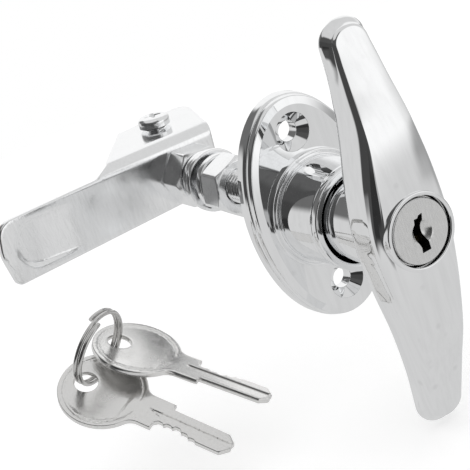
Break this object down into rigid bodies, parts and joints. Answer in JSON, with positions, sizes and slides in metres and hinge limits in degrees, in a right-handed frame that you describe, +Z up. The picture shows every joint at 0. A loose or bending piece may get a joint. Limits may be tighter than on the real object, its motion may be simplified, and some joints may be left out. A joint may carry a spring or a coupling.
{
  "type": "key-locking T-handle cabinet lock",
  "caption": "Chromed T-handle cabinet lock with an oval plate, threaded spindle, bent sheet cam and keys on a split ring.",
  "frame": {"origin": "On the spindle axis, in the mounting face of the oval plate.", "axes": "X to the right seen from the front of the door, Y into the cabinet along the spindle, Z up along the plate's long axis."},
  "size_m": [0.1029, 0.1476, 0.1184],
  "materials": {
    "chrome": "bright polished plating on zinc die-casting",
    "satin": "fine satin nickel plating",
    "steel": "plain machined steel",
    "zinc": "bright zinc plating with fine handling marks",
    "brass": "stamped brass",
    "key_nickel": "nickel plating on stamped brass"
  },
  "bodies": {
    "plate": {"escutcheon": "chrome"},
    "handle": {"handle": "chrome", "lock_barrel": "satin", "spindle": "zinc", "cross_pin": "steel", "thrust_washer": "steel", "retaining_ring": "steel", "front_nut": "zinc", "front_split_washer": "zinc", "flat_washer": "zinc", "rear_split_washer": "zinc", "rear_nut": "zinc", "cam": "zinc", "end_washer": "zinc", "end_nut": "zinc", "rod_screw": "zinc", "rod_nut": "zinc"},
    "plug": {"lock_plug": "satin", "plug_clip": "steel", "plug_crank": "steel", "wafer_1": "brass", "wafer_2": "brass", "wafer_3": "brass", "wafer_4": "brass", "wafer_5": "brass"},
    "bolt": {"locking_bolt": "steel"},
    "ring": {"key_ring": "key_nickel"},
    "key_a": {"key_one": "key_nickel"},
    "key_b": {"key_two": "key_nickel"}
  },
  "joints": [
    {"name": "handle_turn", "type": "hinge", "parent": "plate", "child": "handle", "pos_m": [0, 0, 0], "axis": [0, 1, 0], "range_deg": [-7, 83]},
    {"name": "plug_turn", "type": "hinge", "parent": "handle", "child": "plug", "pos_m": [0, 0, 0], "axis": [0, 1, 0], "range_deg": [0, 90]},
    {"name": "bolt_slide", "type": "slide", "parent": "handle", "child": "bolt", "axis": [0.1219, 0, 0.9925], "range_m": [0, 0.0018]},
    {"name": "ring_lift", "type": "slide", "parent": "plate", "child": "ring", "axis": [0, -1, 0], "range_m": [0, 0.03]},
    {"name": "key_one_swing", "type": "hinge", "parent": "ring", "child": "key_a", "pos_m": [-0.0708, 0.03358, -0.02728], "axis": [-0.019, 0.5178, -0.8553], "range_deg": [0, 35]},
    {"name": "key_two_swing", "type": "hinge", "parent": "ring", "child": "key_b", "pos_m": [-0.0557, 0.03618, -0.02337], "axis": [0.3483, -0.3605, 0.8653], "range_deg": [0, 35]}
  ],
  "couplings": [
    {"joint": "plug_turn", "follows": "bolt_slide", "rad_per_m": 872.6}
  ]
}
